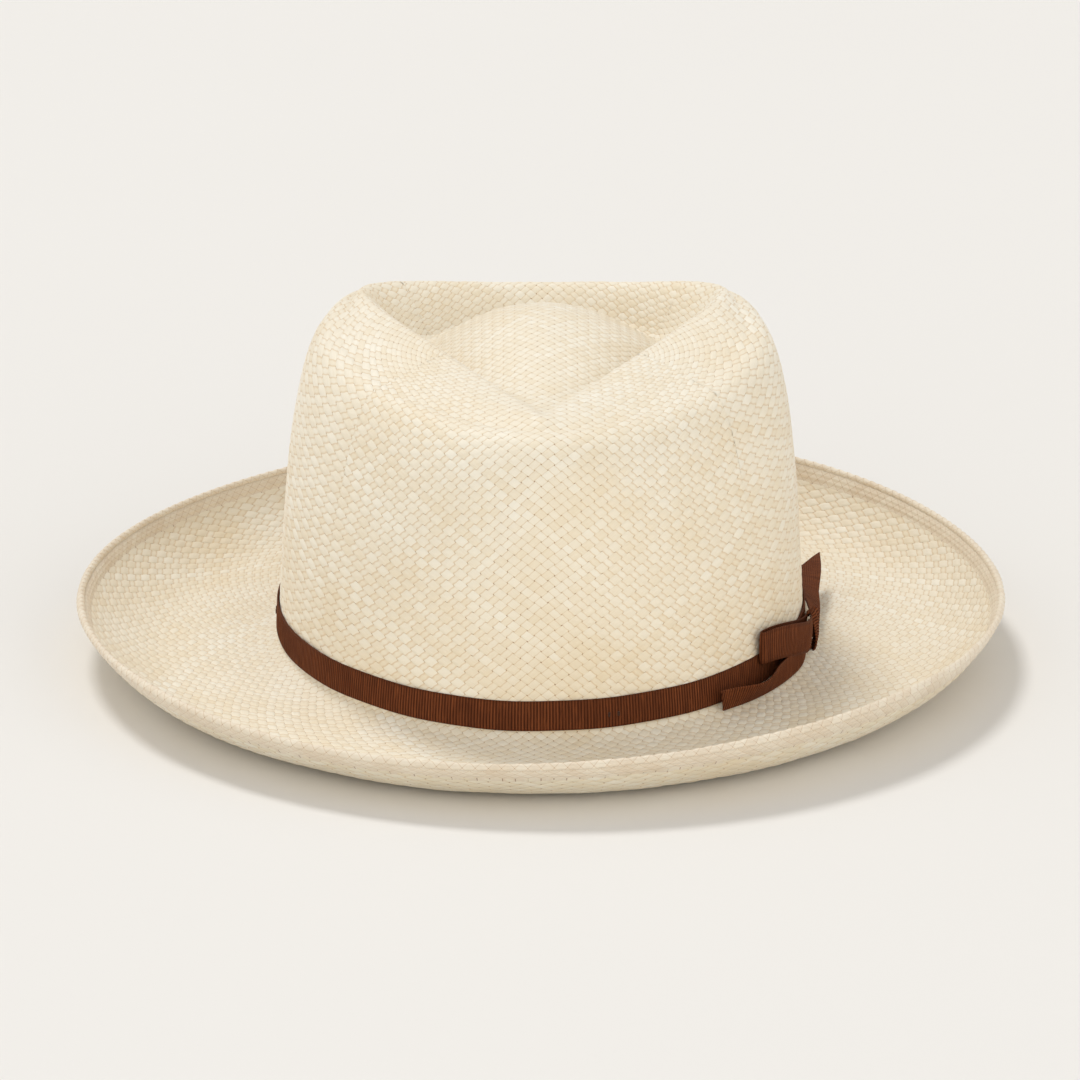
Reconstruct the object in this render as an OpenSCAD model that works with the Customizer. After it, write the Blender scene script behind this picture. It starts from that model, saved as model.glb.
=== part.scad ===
// Panama hat with a teardrop crown, a curled brim and a narrow grosgrain band.
// Units are millimetres. +Z is up, -Y is the front of the hat, +X is the wearer's left.
// The hat rests on the underside of its brim at z = 0, centred on the origin.

/* [Crown] */
// width of the crown outside at the band, ear to ear
crown_w = 175; // [166:1:188]
// length of the crown outside at the band, front to back
crown_l = 201; // [191:1:215]
// height of the side ridges above the table
ridge_side_z = 112; // [104:1:122]
// height of the point of the teardrop at the front
ridge_front_z = 100; // [92:1:106]
// height of the back of the teardrop
ridge_back_z = 104.3; // [96:0.1:110]
// height of the raised middle of the teardrop
island_z = 109; // [103:1:112]
// length of the teardrop, point to back
tear_l = 144; // [134:1:148]
// depth of the groove below the side ridges
groove_depth = 20; // [12:1:24]
// how far the front corners of the crown are pinched in
pinch_depth = 2.5; // [0:0.5:4]
// thickness of the woven straw
straw_t = 1.4; // [1:0.1:1.8]

/* [Brim] */
// overall width across the brim
brim_w = 306; // [280:1:320]
// overall length of the brim, front to back
brim_l = 326; // [300:1:340]
// width of the part of the brim that curls up
lip_run = 29; // [22:1:34]
// mean height of the brim edge above the table
edge_z = 21.5; // [15:0.5:26]
// how much higher the back of the edge sits than the front
edge_tip = 3; // [0:0.5:5]
// width of the back-woven finish along the edge
finish_w = 6; // [4:0.5:9]
// thickness of the back-woven finish
finish_t = 2.2; // [1.8:0.1:3]

/* [Ribbon and bow] */
// width of the grosgrain ribbon
ribbon_w = 9.8; // [8:0.1:14]
// thickness of the grosgrain ribbon
ribbon_t = 0.5; // [0.4:0.1:0.8]
// length of the front loop of the bow
loop_len = 44; // [36:1:60]
// length of the tail that runs back from the knot
rear_tail_len = 66; // [44:1:70]

/* [Sweatband] */
// height of the leather sweatband
sweat_h = 35; // [28:1:42]
// thickness of the leather
sweat_t = 1; // [0.8:0.1:1.4]
// diameter of the reed in the tape at the bottom of the sweatband
reed_d = 1.5; // [1.2:0.1:2]
// number of stitches round the sweatband
stitch_count = 96; // [60:4:120]

/* [Output] */
// piece to show

/* [Hidden] */

// directions round the hat, in degrees: 0 is the front, 90 is the wearer's left
cols = 80;
gap = 0.3;
// height where the crown meets the brim, hidden behind the ribbon
join_z = 8.6;
// height of the ribbon's lower edge at the front and its rise at the sides
band_z = 6;
band_rise = 2.2;
// height of the upper straw face where the brim rests, and its lift at the sides
flat_lift = 1.2;
// run over which the brim falls from the crown to its flat
fall_run = 17;
// radius of the curl of the brim edge
curl_r = 32;

straw_col = [0.93, 0.88, 0.76];
edge_col = [0.9, 0.84, 0.72];
ribbon_col = [0.36, 0.22, 0.14];
leather_col = [0.55, 0.38, 0.24];
tape_col = [0.85, 0.8, 0.7];
thread_col = [0.95, 0.92, 0.85];

function mix(a, b, t) = a + (b - a) * t;
function clamp(x) = min(max(x, 0), 1);
function smooth(x) = let (c = clamp(x)) c * c * (3 - 2 * c);
function unit(v) = v / norm(v);
function aft(f) = (1 - cos(f)) / 2;
function sideways(f) = sin(f) * sin(f);

// plan of the crown at the band, pushed out by d
function oval(f, d = 0) = [(crown_w / 2 + d) * sin(f), -(crown_l / 2 + d) * cos(f)];
// outward direction of that plan
function out_dir(f) = unit([sin(f) / crown_w, -cos(f) / crown_l]);
// plan of the brim edge
function rim(f) = [(brim_w / 2) * sin(f), -(brim_l / 2) * cos(f)];
// plan of the teardrop ridge: pointed at the front, round at the back
function tear(f) =
  let (s = sqrt(pow(sin(f / 2), 2) + 0.09))
  [0.4857 * crown_w * sin(f) * pow(s, 2.2), 4 - tear_l / 2 * cos(f)];
function ridge_z(f) =
  let (q = aft(f), a = min(q / 0.68, 1), b = max((q - 0.68) / 0.32, 0))
  ridge_front_z + (ridge_side_z - ridge_front_z) * pow(sin(90 * a), 2)
  - (ridge_side_z - ridge_back_z) * b * b;
// plan of the shoulder, between the wall and the ridge
function shoulder(f) =
  let (q = aft(f), c = 0.2 + 0.31 * (1 - pow(cos(f), 4)) * (1 - smooth((q - 0.45) / 0.3)))
  mix(tear(f), oval(f), c);

// outside of the crown wall, k runs from 0 at the brim to 1 at the shoulder
function wall(f, k) =
  let (
    q = aft(f),
    s = shoulder(f),
    e = mix(0.377, 0.28, smooth(q / 0.6)),
    g = pow(max(1 - pow(k, 1.18), 0), e),
    p = mix(s, oval(f), g),
    pin = pinch_depth * exp(-pow((q - 0.16) / 0.12, 2)) * exp(-pow((k - 0.85) / 0.3, 2)),
    o = out_dir(f)
  )
  [p.x - pin * o.x + 0.7 * k * k, p.y - 0.3 * pin * o.y, join_z + (ridge_z(f) - 3 - join_z) * k];
// the shoulder up to the ridge
function brow(f, w) =
  let (a = wall(f, 1), t = tear(f))
  [mix(a.x, t.x + 0.7, w), mix(a.y, t.y, w), mix(a.z, ridge_z(f), sin(90 * w))];
// inside the teardrop, u runs from 0 at the ridge to 1 at the middle
function dent(f, u) =
  let (
    t = tear(f),
    q = aft(f),
    cy = 14,
    x = mix(t.x, 0, u),
    y = mix(t.y, cy, u),
    run = u * norm([t.x, t.y - cy]),
    drop = mix(5, groove_depth, smooth(q / 0.5)) * mix(1, 0.85, smooth((q - 0.5) / 0.5)),
    side = ridge_z(f) - drop * smooth(run / 18),
    mound = island_z - 13.5 * (1 - smooth((y + 62) / 84)) - 0.0098 * x * x
      - 0.006 * pow(max(y - 22, 0), 2),
    h = clamp(0.5 + (mound - side) / 8)
  )
  [x + 0.7, y, mix(side, mound, h) + 4 * h * (1 - h)];

// heights of the straw between the crown and the brim edge
function turn_z(f) = band_z + band_rise * sideways(f) - 0.3;
function flat_z(f) = straw_t + flat_lift * sideways(f);
// the edge is not quite level: it dips at the front and waves a little from blocking
function lip_z(f) =
  edge_z + 1.4 * sin(f) - (edge_tip - 1) * cos(f) + 1.1 * sin(3 * f) - cos(3 * f);
function brim_top(f, u) =
  let (
    a = oval(f),
    b = rim(f),
    run = norm(b - a),
    p = mix(a, b, u / run),
    fall = pow(clamp(1 - pow(clamp(u / fall_run), 0.667)), 2),
    q = max(u - (run - lip_run), 0),
    arc = (curl_r - sqrt(curl_r * curl_r - q * q)) / (curl_r - sqrt(curl_r * curl_r - lip_run * lip_run))
  )
  [p.x, p.y, flat_z(f) + (turn_z(f) - flat_z(f)) * fall + (lip_z(f) - flat_z(f)) * arc];
function brim_run(f) = norm(rim(f) - oval(f));

// a grid is a list of rings, each ring has the same number of points round the hat
function ring_cross(g, i, j) =
  let (
    n = len(g[0]),
    a = g[i][(j + 1) % n] - g[i][(j + n - 1) % n],
    b = g[min(i + 1, len(g) - 1)][j] - g[max(i - 1, 0)][j]
  )
  unit(cross(a, b));
function offset_grid(g, d) =
  [for (i = [0:len(g) - 1]) [for (j = [0:len(g[0]) - 1]) g[i][j] + d * ring_cross(g, i, j)]];
function flatten(g) = [for (r = g) for (p = r) p];
function quads(n, i, k, flip = false) =
  [for (j = [0:n - 1])
    let (a = i * n + j, b = i * n + (j + 1) % n, c = k * n + (j + 1) % n, d = k * n + j)
    for (t = flip ? [[a, c, b], [a, d, c]] : [[a, b, c], [a, c, d]]) t];

// closed solid through rings that go once round a section and join up again
module ring_solid(rings) {
  n = len(rings[0]);
  m = len(rings);
  polyhedron(
    points = flatten(rings),
    faces = [for (i = [0:m - 1]) for (t = quads(n, i, (i + 1) % m)) t]
  );
}

// domed shell: rings from the open end up to a pole on each face
module dome_solid(outer, inner, pole_out, pole_in) {
  n = len(outer[0]);
  m = len(outer);
  pts = concat(flatten(outer), flatten(inner), [pole_out, pole_in]);
  outside = [for (i = [0:m - 2]) for (t = quads(n, i, i + 1, true)) t];
  inside = [for (i = [m:2 * m - 2]) for (t = quads(n, i, i + 1)) t];
  cap_out = [for (j = [0:n - 1]) [(m - 1) * n + j, 2 * m * n, (m - 1) * n + (j + 1) % n]];
  cap_in = [for (j = [0:n - 1]) [(2 * m - 1) * n + (j + 1) % n, 2 * m * n + 1, (2 * m - 1) * n + j]];
  foot = quads(n, 0, m);
  polyhedron(points = pts, faces = concat(outside, inside, cap_out, cap_in, foot));
}

// strip of ribbon through stations [centre, direction across, direction out]
module strip(stations, w, t) {
  m = len(stations);
  ahead = stations[1][0] - stations[0][0];
  right = cross(stations[0][1], stations[0][2]) * ahead > 0;
  pts = [for (s = stations) for (c = [[-1, -1], [1, -1], [1, 1], [-1, 1]])
    s[0] + c.x * w / 2 * s[1] + c.y * t / 2 * s[2]];
  sides = [for (i = [0:m - 2]) for (k = [0:3])
    let (a = 4 * i + k, b = 4 * i + (k + 1) % 4)
    // both faces are split along the same diagonal, so a twisted strip keeps its thickness
    for (q = k < 2 ? [[a, b + 4, b], [a, a + 4, b + 4]] : [[a, a + 4, b], [b, a + 4, b + 4]]) q];
  first = [[0, 1, 2], [0, 2, 3]];
  last = [for (q = [[0, 2, 1], [0, 3, 2]]) [for (v = q) v + 4 * (m - 1)]];
  faces = concat(sides, first, last);
  polyhedron(points = pts, faces = right ? faces : [for (f = faces) [f[0], f[2], f[1]]]);
}

function angles() = [for (j = [0:cols - 1]) 360 * j / cols];
// denser steps towards the shoulder, where the wall turns over
wall_steps = 11;
function wall_rings() =
  [for (i = [0:wall_steps]) let (k = 1 - pow(1 - i / wall_steps, 3)) [for (f = angles()) wall(f, k)]];
function brow_rings() = [for (w = [0.35, 0.7, 1]) [for (f = angles()) brow(f, w)]];
function dent_rings() =
  [for (u = [0.04, 0.09, 0.15, 0.22, 0.3, 0.39, 0.5, 0.63, 0.78, 0.9]) [for (f = angles()) dent(f, u)]];
function crown_rings() = concat(wall_rings(), brow_rings(), dent_rings());

// crown wall at height z, pushed out by d
function wall_at(f, z, d) =
  let (k = clamp((z - join_z) / (ridge_z(f) - 3 - join_z)), p = wall(f, k), o = out_dir(f))
  [p.x + d * o.x, p.y + d * o.y, z];

module straw_crown() color(straw_col) {
  outer = crown_rings();
  inset = offset_grid(outer, -straw_t);
  foot = [for (f = angles()) let (p = oval(f, -straw_t)) [p.x, p.y, join_z]];
  inner = [for (i = [0:len(inset) - 1]) i == 0 ? foot : inset[i]];
  mid = dent(0, 1);
  dome_solid(outer, inner, mid, mid - [0, 0, straw_t]);
}

// upper face of the brim, ring by ring, out to u from the edge
function brim_steps(f, stop) =
  let (run = brim_run(f), bend = run - lip_run, end = run - stop)
  concat(
    [for (s = [0, 0.04, 0.12, 0.25, 0.45, 0.7, 1]) s * fall_run],
    [mix(fall_run, bend, 0.5), bend],
    [for (s = [0.2, 0.4, 0.55, 0.7, 0.85, 1]) mix(bend, end, s)]
  );
function brim_rings(stop) =
  let (m = len(brim_steps(0, stop)))
  [for (i = [0:m - 1]) [for (f = angles()) brim_top(f, brim_steps(f, stop)[i])]];
function neck(d) = [for (f = angles()) let (p = oval(f, d)) [p.x, p.y, join_z]];
// the lower face, kept on the crown's inside where the brim turns up
function brim_under(stop) =
  let (g = offset_grid(brim_rings(stop), straw_t))
  [for (i = [0:len(g) - 1])
    [for (j = [0:cols - 1])
      let (f = 360 * j / cols, p = oval(f, -straw_t))
      i == 0 ? [p.x, p.y, turn_z(f)] : g[i][j]]];

module straw_brim() color(straw_col) {
  top = brim_rings(finish_w * 0.55);
  low = brim_under(finish_w * 0.55);
  ring_solid(concat([neck(0)], top, [for (i = [len(low) - 1:-1:0]) low[i]], [neck(-straw_t)]));
}

// back-woven finish: the straws turn over at the edge and run back into the brim
function finish_section(f) =
  let (
    run = brim_run(f),
    a = run - finish_w * 0.55,
    p0 = brim_top(f, a),
    p1 = brim_top(f, run),
    o = out_dir(f),
    du = unit(p1 - p0),
    up = unit([-du.z * o.x, -du.z * o.y, du.x * o.x + du.y * o.y]),
    len = norm(p1 - p0),
    h = finish_t / 2,
    c = p0 - up * straw_t / 2
  )
  [
    c + up * straw_t / 2,
    c + up * h + du * 0.8,
    c + up * h + du * (len - h),
    c + up * 0.75 * h + du * (len - 0.4 * h),
    c + du * len,
    c - up * 0.75 * h + du * (len - 0.4 * h),
    c - up * h + du * (len - h),
    c - up * h + du * 0.8,
    c - up * straw_t / 2
  ];

module brim_edge() color(edge_col) {
  s = [for (f = angles()) finish_section(f)];
  low = brim_under(finish_w * 0.55);
  last = low[len(low) - 1];
  ring_solid([for (i = [0:8]) [for (j = [0:cols - 1]) i == 8 ? last[j] : s[j][i]]]);
}

// the band hugs the foot of the crown
function band_low(f) = band_z + band_rise * sideways(f);
function band_ring(h, d) = [for (f = angles()) wall_at(f, band_low(f) + h, d)];
module hat_band() color(ribbon_col)
  ring_solid([
    band_ring(ribbon_w / 2, gap),
    band_ring(ribbon_w, gap),
    band_ring(ribbon_w, gap + ribbon_t),
    band_ring(ribbon_w / 2, gap + ribbon_t),
    band_ring(0, gap + ribbon_t),
    band_ring(0, gap)
  ]);

// short thread bars that tack the band to the straw
module band_tacks() color([0.2, 0.12, 0.08])
  for (f = [14.2, 16.2, 178, 180, 270, 272]) {
    p = wall_at(f, band_low(f) + ribbon_w * 0.45, gap + ribbon_t + 0.02);
    translate(p) rotate([0, 0, f - 90]) translate([0, -0.3, -0.7]) cube([0.35, 0.6, 1.4]);
  }

// place along the band: f round the hat, d out from it, z up
function at(f, d, z) = wall_at(f, z, gap + ribbon_t + d);
function along(f) = let (a = oval(f + 1) - oval(f - 1)) unit([a.x, a.y, 0]);
function outward(f) = let (o = out_dir(f)) [o.x, o.y, 0];
knot_f = 80.5;
knot_z = 11.3;
loop_w = ribbon_w * 1.1;
tail_w = ribbon_w * 0.86;
loop_end_f = knot_f - loop_len * 0.6;

// the loop runs forward from the knot, turns over and comes back against the band
function loop_path() =
  let (n = 12)
  concat(
    [for (i = [0:n]) let (s = i / n, f = mix(knot_f + 1, loop_end_f, s))
      [f, 2.1 + 2.2 * sin(180 * s) + 0.8 * s, mix(knot_z + 0.2, knot_z + 8.6, smooth(s)), 1]],
    [for (a = [30, 60, 90, 120, 150])
      [loop_end_f - 1.2 * sin(a), 1.7 + 1.2 * cos(a), knot_z + 8.6, cos(a)]],
    [for (i = [0:n]) let (s = i / n, f = mix(loop_end_f, knot_f + 1, s))
      [f, 0.5, mix(knot_z + 8.6, knot_z + 0.2, smooth(s)), -1]]
  );
function path_station(path, i) =
  let (
    a = path[max(i - 1, 0)],
    b = path[min(i + 1, len(path) - 1)],
    p = path[i],
    here = at(p[0], p[1], p[2]),
    t = unit(at(b[0], b[1], b[2]) - at(a[0], a[1], a[2])),
    out = unit(cross(t, unit([0, 0, 1] - t * t.z))),
    across = unit(cross(out, t))
  )
  [here, across, out];
module bow_loop() color(ribbon_col) {
  path = loop_path();
  strip([for (i = [0:len(path) - 1]) path_station(path, i)], loop_w, ribbon_t);
}

// the knot is a narrow wrap round the band and the bow, standing a little proud
module bow_knot() color(ribbon_col) {
  o = outward(knot_f);
  t = along(knot_f);
  c = at(knot_f, 0, knot_z);
  n = 16;
  stations = [for (i = [0:n])
    let (a = mix(-140, 140, i / n), x = 2.65 + 2 * cos(a), z = 6.6 * sin(a))
    [c + o * x + [0, 0, z], t, unit(o * cos(a) * 6.6 + [0, 0, 1] * sin(a) * 2)]];
  strip(stations, 6.8, ribbon_t);
}

// the front tail leaves the knot low, stands on the foot of the band and leans out past the loop
module bow_front_tail() color(ribbon_col) {
  n = 16;
  stations = [for (i = [0:n])
    let (
      s = i / n,
      f = mix(knot_f, knot_f - 41.5, s),
      lean = 4 + 28 * exp(-pow((s - 0.76) / 0.15, 2)) + 10 * smooth((s - 0.7) / 0.3),
      across = unit(outward(f) * sin(lean) + [0, 0, 1] * cos(lean)),
      out = unit(cross(along(f), across)),
      foot = at(f, 1.25 + 1.9 * smooth(s / 0.3) - 0.7 * smooth((s - 0.7) / 0.3),
                mix(6.2, 4.85, smooth(s / 0.35)))
    )
    [foot + across * tail_w / 2, across, -out]];
  strip(stations, tail_w, ribbon_t);
}

// the rear tail runs straight back from the knot and twists to lie face up
module bow_rear_tail() color(ribbon_col) {
  n = 28;
  p0 = at(knot_f + 0.5, 2.9, knot_z + 0.8);
  stations = [for (i = [0:n])
    let (
      s = i / n,
      turn = mix(85, -12, 1 - pow(1 - s, 1.2)),
      across = [-cos(turn), 0, sin(turn)],
      t = [0, 1, 0],
      off = 0.9 * sin(180 * min(s / 0.6, 1)) + 1.7 * smooth((s - 0.5) / 0.5),
      side = unit(across - t * (across * t))
    )
    [p0 + [off, (rear_tail_len + 7) * s, 0.6 * s], side, unit(cross(side, t))]];
  cut = 58;
  difference() {
    strip(stations, tail_w, ribbon_t);
    translate(stations[n][0] + [0, -7, -10]) rotate([0, 0, cut]) translate([-30, 0, 0]) cube([60, 30, 20]);
  }
}

// leather sweatband standing just inside the straw
sweat_out = -(straw_t + gap + 0.35 + gap);
sweat_z0 = 9.4;
module sweatband() color(leather_col) {
  hs = [0, 0.33, 0.66, 1];
  face = function (d) [for (h = hs) [for (f = angles()) wall_at(f, sweat_z0 + sweat_h * h, d)]];
  a = face(sweat_out);
  b = face(sweat_out - sweat_t);
  ring_solid(concat([for (i = [3:-1:0]) a[i]], [for (i = [0:3]) b[i]]));
}

tape_d = reed_d + 2 * gap + 0.6;
reed_z = 7.5;
reed_off = -(straw_t + gap + tape_d / 2);
function tube_ring(r, a) = [for (f = angles())
  let (p = oval(f, reed_off + r * cos(a))) [p.x, p.y, reed_z + r * sin(a)]];
module sweatband_reed() color([0.8, 0.78, 0.72])
  ring_solid([for (i = [0:7]) tube_ring(reed_d / 2, -45 * i)]);

// tape: a strip folded round the reed, with a flange that is sewn to the straw
module reed_tape() color(tape_col) {
  flange_out = -(straw_t + gap);
  flange_in = flange_out - 0.35;
  flange_ring = function (z, d) [for (f = angles()) wall_at(f, z, d)];
  ring_solid(concat(
    [flange_ring(13.4, flange_in), flange_ring(13.4, flange_out), flange_ring(10, flange_out)],
    [for (i = [0:10]) tube_ring(tape_d / 2, -29 * i)],
    [for (i = [10:-1:1]) tube_ring(tape_d / 2 - 0.3, -29 * i)],
    [flange_ring(10, flange_in)]
  ));
}

// slanting stitches along the foot of the leather
module sweatband_stitches() color(thread_col)
  for (i = [0:stitch_count - 1]) {
    f = 360 * i / stitch_count;
    p = wall_at(f, sweat_z0 + 1.7, sweat_out - sweat_t - 0.2);
    translate(p) rotate([0, 0, f]) rotate([0, 25, 0]) translate([-1.1, -0.2, -0.22]) cube([2.2, 0.4, 0.44]);
  }

// small bow sewn over the join at the back of the leather
back_p = wall_at(180, sweat_z0 + 7, sweat_out - sweat_t - 0.35);
module sweatband_bow_loops() color([0.3, 0.2, 0.14])
  for (side = [-1, 1]) {
    path = concat(
      [for (i = [0:6]) let (s = i / 6) [side * (1.4 + 9.6 * s), -0.5 - 1.7 * sin(180 * s) - 0.5 * s, 1.6 * s]],
      [for (a = [45, 90, 135]) [side * (11 + 0.8 * sin(a)), -0.55 - 0.45 * cos(a), 1.6]],
      [for (i = [6:-1:0]) let (s = i / 6) [side * (1.4 + 9.6 * s), -0.1, 1.6 * s]]
    );
    m = len(path);
    strip([for (i = [0:m - 1])
      let (t = unit(path[min(i + 1, m - 1)] - path[max(i - 1, 0)]), up = unit([0, 0, 1] - t * t.z))
      [back_p + path[i] + [0, -0.2, 0], up, unit(cross(up, t))]], 5, 0.35);
  }

module sweatband_bow_knot() color([0.3, 0.2, 0.14])
  translate(back_p + [-1.1, -2.6, -3.1]) cube([2.2, 2.2, 6.2]);

straw_crown();
straw_brim();
brim_edge();
hat_band();
band_tacks();
bow_loop();
bow_knot();
bow_front_tail();
bow_rear_tail();
sweatband();
sweatband_reed();
reed_tape();
sweatband_stitches();
sweatband_bow_loops();
sweatband_bow_knot();
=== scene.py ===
"""Panama hat: woven straw, grosgrain band and bow, leather sweatband, on a pale floor."""
import math
import bpy
import numpy as np
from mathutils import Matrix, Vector


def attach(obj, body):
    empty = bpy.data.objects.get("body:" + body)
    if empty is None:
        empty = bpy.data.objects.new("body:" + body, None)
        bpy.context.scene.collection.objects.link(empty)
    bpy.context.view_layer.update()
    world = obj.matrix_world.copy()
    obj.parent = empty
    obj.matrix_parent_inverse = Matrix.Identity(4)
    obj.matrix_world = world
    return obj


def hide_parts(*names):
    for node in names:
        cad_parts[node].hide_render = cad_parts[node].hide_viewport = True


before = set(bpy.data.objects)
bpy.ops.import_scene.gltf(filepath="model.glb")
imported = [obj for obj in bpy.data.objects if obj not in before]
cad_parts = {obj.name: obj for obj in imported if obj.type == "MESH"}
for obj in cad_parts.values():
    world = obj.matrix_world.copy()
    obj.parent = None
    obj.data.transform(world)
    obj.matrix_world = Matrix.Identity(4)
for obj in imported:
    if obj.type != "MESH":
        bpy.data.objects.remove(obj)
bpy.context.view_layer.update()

MM = 0.001

# ---- dimensions, mm
CROWN_W, CROWN_L = 175.0, 201.0
BRIM_W, BRIM_L = 306.0, 326.0
RIDGE_SIDE, RIDGE_FRONT, RIDGE_BACK, ISLAND = 112.0, 100.0, 104.3, 109.0
TEAR_L, GROOVE, PINCH, STRAW_T = 144.0, 20.0, 2.5, 1.4
LIP_RUN, EDGE_Z, EDGE_TIP = 29.0, 21.5, 3.0
FINISH_W, FINISH_T = 6.0, 2.2
RIBBON_W, RIBBON_T, GAP, JOIN_Z = 9.8, 0.5, 0.3, 8.6
BAND_Z, BAND_RISE, FLAT_LIFT, FALL_RUN, CURL_R = 6.0, 2.2, 1.2, 17.0, 32.0
CENTRE = np.array([0.7, 14.0])      # middle of the teardrop, where the weave starts
SHOULDER_DROP = 3.0                 # the wall ends this far below the ridge
RIDGE_PEAK = 0.68                   # the ridge is highest this share of the way to the back

# ---- weave
CROWN_STRAWS = 92       # straws of one diagonal family round the crown
BRIM_STRAWS = 144       # straws of one diagonal family round the brim
ROW = 3.5               # height of one row of crossings on the crown
BRIM_ROW = 3.3          # the same on the brim
TOP_PITCH = 4.1         # width of one crossing where straws are being added
FLAT_RUN = 42.0         # the top is a flat square weave out to here, mm from its middle
FLAT_PITCH = 3.8        # straw crossings of the flat weave
SPREAD_RUN = 34.0       # run over which the flat weave turns into rows round the crown
LEAD_RUN = 12.0         # run over which one family gives way to the other on the top
WAVE = 0.10             # how far a straw rises over and under, mm
EDGE_DROP = 0.13        # how much a straw is rounded off at its sides, mm
SIDE_POWER = 5.0        # how late that rounding starts
LEAD = 0.05             # how far one family is raised over the other, mm

# columns round the hat; the top is a disc of TOP_RINGS rings with 8 more points each
TOP_RINGS = 156
CROWN_COLS = 8 * TOP_RINGS
CROWN_ROWS = 310
BRIM_COLS = 1664


def mix(a, b, t):
    return a + (b - a) * t


def clamp(x):
    return np.clip(x, 0.0, 1.0)


def smooth(x):
    c = clamp(x)
    return c * c * (3 - 2 * c)


def sind(f):
    return np.sin(np.radians(f))


def cosd(f):
    return np.cos(np.radians(f))


def unit(v):
    return v / np.maximum(np.linalg.norm(v, axis=-1, keepdims=True), 1e-12)


# ---- the hat's surfaces
# f goes round the hat in degrees: 0 is the front, 90 the wearer's left
def aft(f):
    """0 at the front, 1 at the back."""
    return (1 - cosd(f)) / 2


def sideways(f):
    """0 at the front and back, 1 at the sides."""
    return sind(f) ** 2


def oval(f, d=0.0):
    """Foot of the crown in plan, pushed out by d."""
    return np.stack([(CROWN_W / 2 + d) * sind(f), -(CROWN_L / 2 + d) * cosd(f)], -1)


def rim(f):
    """Edge of the brim in plan."""
    return np.stack([BRIM_W / 2 * sind(f), -BRIM_L / 2 * cosd(f)], -1)


def out_dir(f):
    """Direction straight out from the crown, in plan."""
    return unit(np.stack([sind(f) / CROWN_W, -cosd(f) / CROWN_L], -1))


def tear(f):
    """Ridge of the teardrop in plan."""
    s = np.sqrt(sind(f / 2) ** 2 + 0.09)
    return np.stack([0.4857 * CROWN_W * sind(f) * s ** 2.2, 4 - TEAR_L / 2 * cosd(f)], -1)


def ridge_z(f):
    """Height of the ridge round the teardrop."""
    q = aft(f)
    a = np.minimum(q / RIDGE_PEAK, 1)
    b = np.maximum((q - RIDGE_PEAK) / (1 - RIDGE_PEAK), 0)
    rise = (RIDGE_SIDE - RIDGE_FRONT) * sind(90 * a) ** 2
    return RIDGE_FRONT + rise - (RIDGE_SIDE - RIDGE_BACK) * b * b


def shoulder(f):
    """Where the wall ends, in plan: between the teardrop and the foot."""
    c = 0.2 + 0.31 * (1 - cosd(f) ** 4) * (1 - smooth((aft(f) - 0.45) / 0.3))
    return mix(tear(f), oval(f), c[..., None])


def wall(f, k):
    """Outside of the crown: k is 0 at the brim and 1 at the shoulder."""
    f, k = np.broadcast_arrays(np.asarray(f, float), np.asarray(k, float))
    q = aft(f)
    e = mix(0.377, 0.28, smooth(q / 0.6))
    g = np.maximum(1 - k ** 1.18, 0) ** e
    p = mix(shoulder(f), oval(f), g[..., None])
    pin = PINCH * np.exp(-((q - 0.16) / 0.12) ** 2) * np.exp(-((k - 0.85) / 0.3) ** 2)
    o = out_dir(f)
    x = p[..., 0] - pin * o[..., 0] + CENTRE[0] * k * k
    y = p[..., 1] - 0.3 * pin * o[..., 1]
    return np.stack([x, y, JOIN_Z + (ridge_z(f) - SHOULDER_DROP - JOIN_Z) * k], -1)


def brow(f, w):
    """From the shoulder up to the ridge."""
    f, w = np.broadcast_arrays(np.asarray(f, float), np.asarray(w, float))
    a, t = wall(f, np.ones_like(f)), tear(f)
    x = mix(a[..., 0], t[..., 0] + CENTRE[0], w)
    return np.stack([x, mix(a[..., 1], t[..., 1], w), mix(a[..., 2], ridge_z(f), sind(90 * w))], -1)


def dent(f, u):
    """Inside the teardrop: u is 0 at the ridge and 1 at its middle."""
    f, u = np.broadcast_arrays(np.asarray(f, float), np.asarray(u, float))
    t, q = tear(f), aft(f)
    x, y = t[..., 0] * (1 - u), mix(t[..., 1], CENTRE[1], u)
    run = u * np.hypot(t[..., 0], t[..., 1] - CENTRE[1])
    drop = mix(5, GROOVE, smooth(q / 0.5)) * mix(1, 0.85, smooth((q - 0.5) / 0.5))
    side = ridge_z(f) - drop * smooth(run / 18)
    mound = (ISLAND - 13.5 * (1 - smooth((y + 62) / 84)) - 0.0098 * x * x
             - 0.006 * np.maximum(y - 22, 0) ** 2)
    h = clamp(0.5 + (mound - side) / 8)
    return np.stack([x + CENTRE[0], y, mix(side, mound, h) + 4 * h * (1 - h)], -1)


def turn_z(f):
    """Upper face of the straw where the brim leaves the crown."""
    return BAND_Z + BAND_RISE * sideways(f) - 0.3


def flat_z(f):
    """Upper face of the straw on the flat of the brim."""
    return STRAW_T + FLAT_LIFT * sideways(f)


def lip_z(f):
    """Height of the curled edge of the brim."""
    return EDGE_Z + 1.4 * sind(f) - (EDGE_TIP - 1) * cosd(f) + 1.1 * sind(3 * f) - cosd(3 * f)


def brim_run(f):
    return np.linalg.norm(rim(f) - oval(f), axis=-1)


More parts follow.
